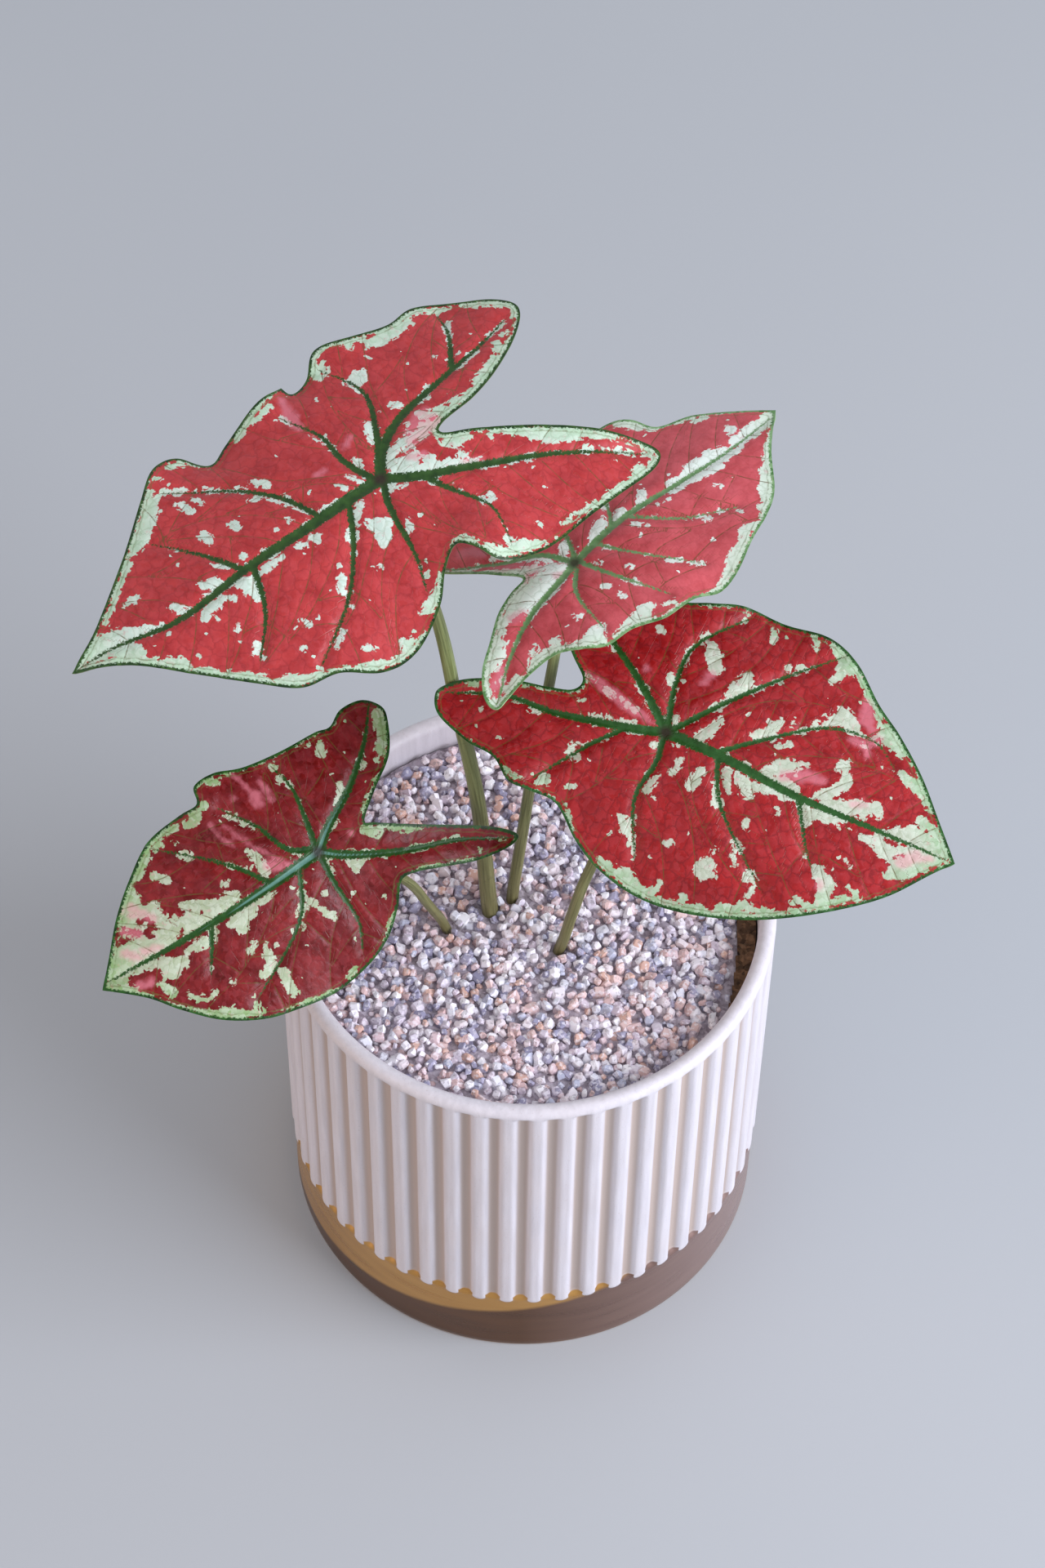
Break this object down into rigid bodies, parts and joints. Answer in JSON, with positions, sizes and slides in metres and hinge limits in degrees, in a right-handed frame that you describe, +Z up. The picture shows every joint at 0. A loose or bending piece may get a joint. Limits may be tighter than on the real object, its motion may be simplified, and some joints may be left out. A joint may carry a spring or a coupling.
{
  "type": "potted caladium",
  "caption": "Caladium with large heart-shaped red and cream leaves on slim stalks, standing in a ribbed cylindrical ceramic pot of soil topped with fine gravel.",
  "frame": {"origin": "centre of the pot's flat underside, which stands on the surface", "axes": "+Z up along the pot's axis; +X to the right and +Y away from the viewer, seen from the side that faces the camera in the picture"},
  "size_m": [0.2093, 0.1432, 0.2729],
  "materials": {
    "pot_ceramic": "satin",
    "gravel_stone": "matte",
    "potting_soil": "matte",
    "tuber_skin": "matte",
    "leaf_1_red": "satin",
    "leaf_1_olive": "satin",
    "leaf_2_red": "satin",
    "leaf_2_olive": "satin",
    "leaf_3_red": "satin",
    "leaf_3_olive": "satin",
    "leaf_4_red": "satin",
    "leaf_4_olive": "satin"
  },
  "bodies": {
    "root": {"pot": "pot_ceramic", "gravel": "gravel_stone", "soil": "potting_soil", "tuber": "tuber_skin", "leaf_1_blade": "leaf_1_red", "leaf_1_stalk": "leaf_1_olive", "leaf_2_blade": "leaf_2_red", "leaf_2_stalk": "leaf_2_olive", "leaf_3_blade": "leaf_3_red", "leaf_3_stalk": "leaf_3_olive", "leaf_4_blade": "leaf_4_red", "leaf_4_stalk": "leaf_4_olive"}
  },
  "joints": []
}
